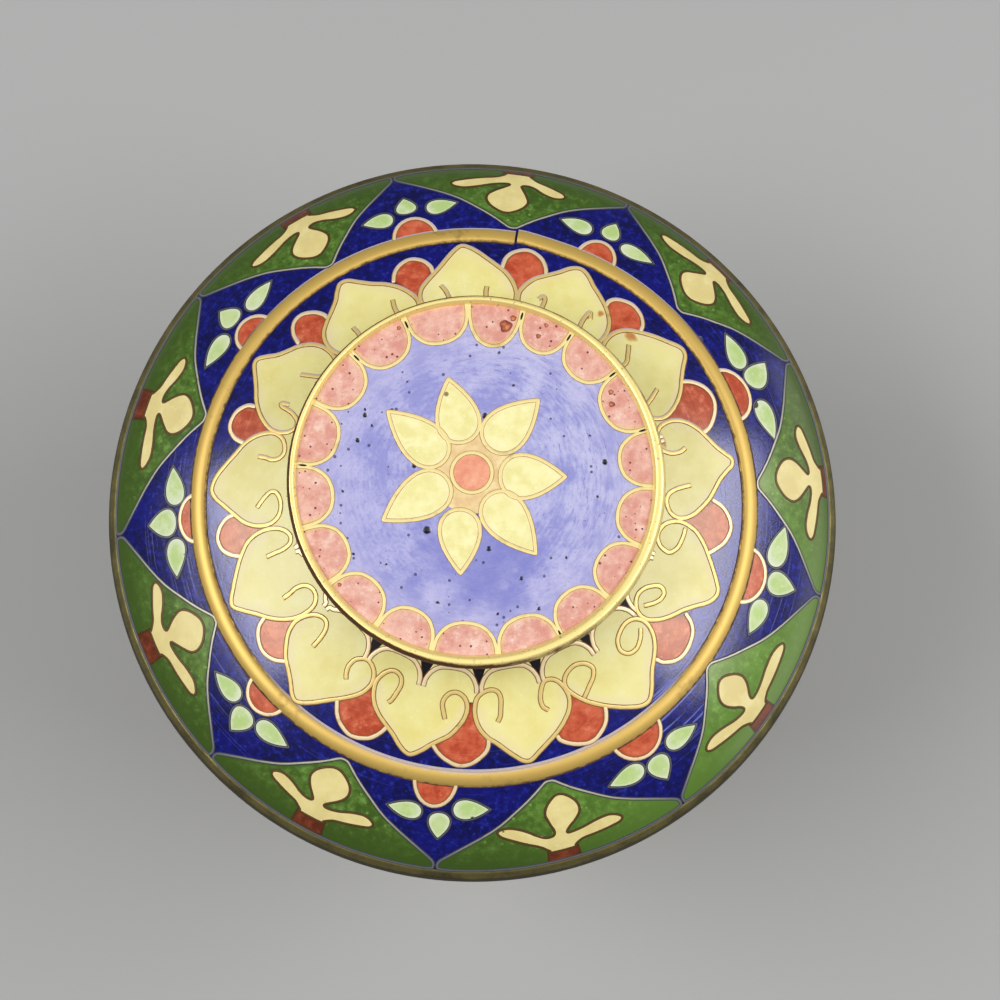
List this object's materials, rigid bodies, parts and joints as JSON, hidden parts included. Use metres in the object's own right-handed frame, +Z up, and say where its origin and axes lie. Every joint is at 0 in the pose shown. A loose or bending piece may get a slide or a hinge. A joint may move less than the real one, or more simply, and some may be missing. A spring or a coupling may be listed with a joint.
{
  "type": "cloisonne lidded urn",
  "caption": "Small round urn on a spreading foot with a domed lift-off lid, enamelled copper between brass rings.",
  "frame": {"origin": "centre of the foot ring's flat underside, on the table", "axes": "+Z up along the urn's axis; the urn is round, and +Y is away from a person who looks down on the lid from its front"},
  "size_m": [0.08, 0.08, 0.0745],
  "materials": {
    "enamel": "glossy vitreous enamel on copper, cobalt blue ground with wired motifs",
    "plate_enamel": "satin, pitted periwinkle enamel on copper",
    "brass": "rubbed bright on top, brown tarnish on the sides"
  },
  "bodies": {
    "root": {"foot_ring": "brass", "urn_body": "enamel", "urn_band_wire": "brass", "mouth_ring": "brass", "lid_rim_ring": "brass", "lid_dome": "enamel", "lid_band_wire": "brass", "knob_collar": "brass", "knob_plate": "plate_enamel"}
  },
  "joints": []
}
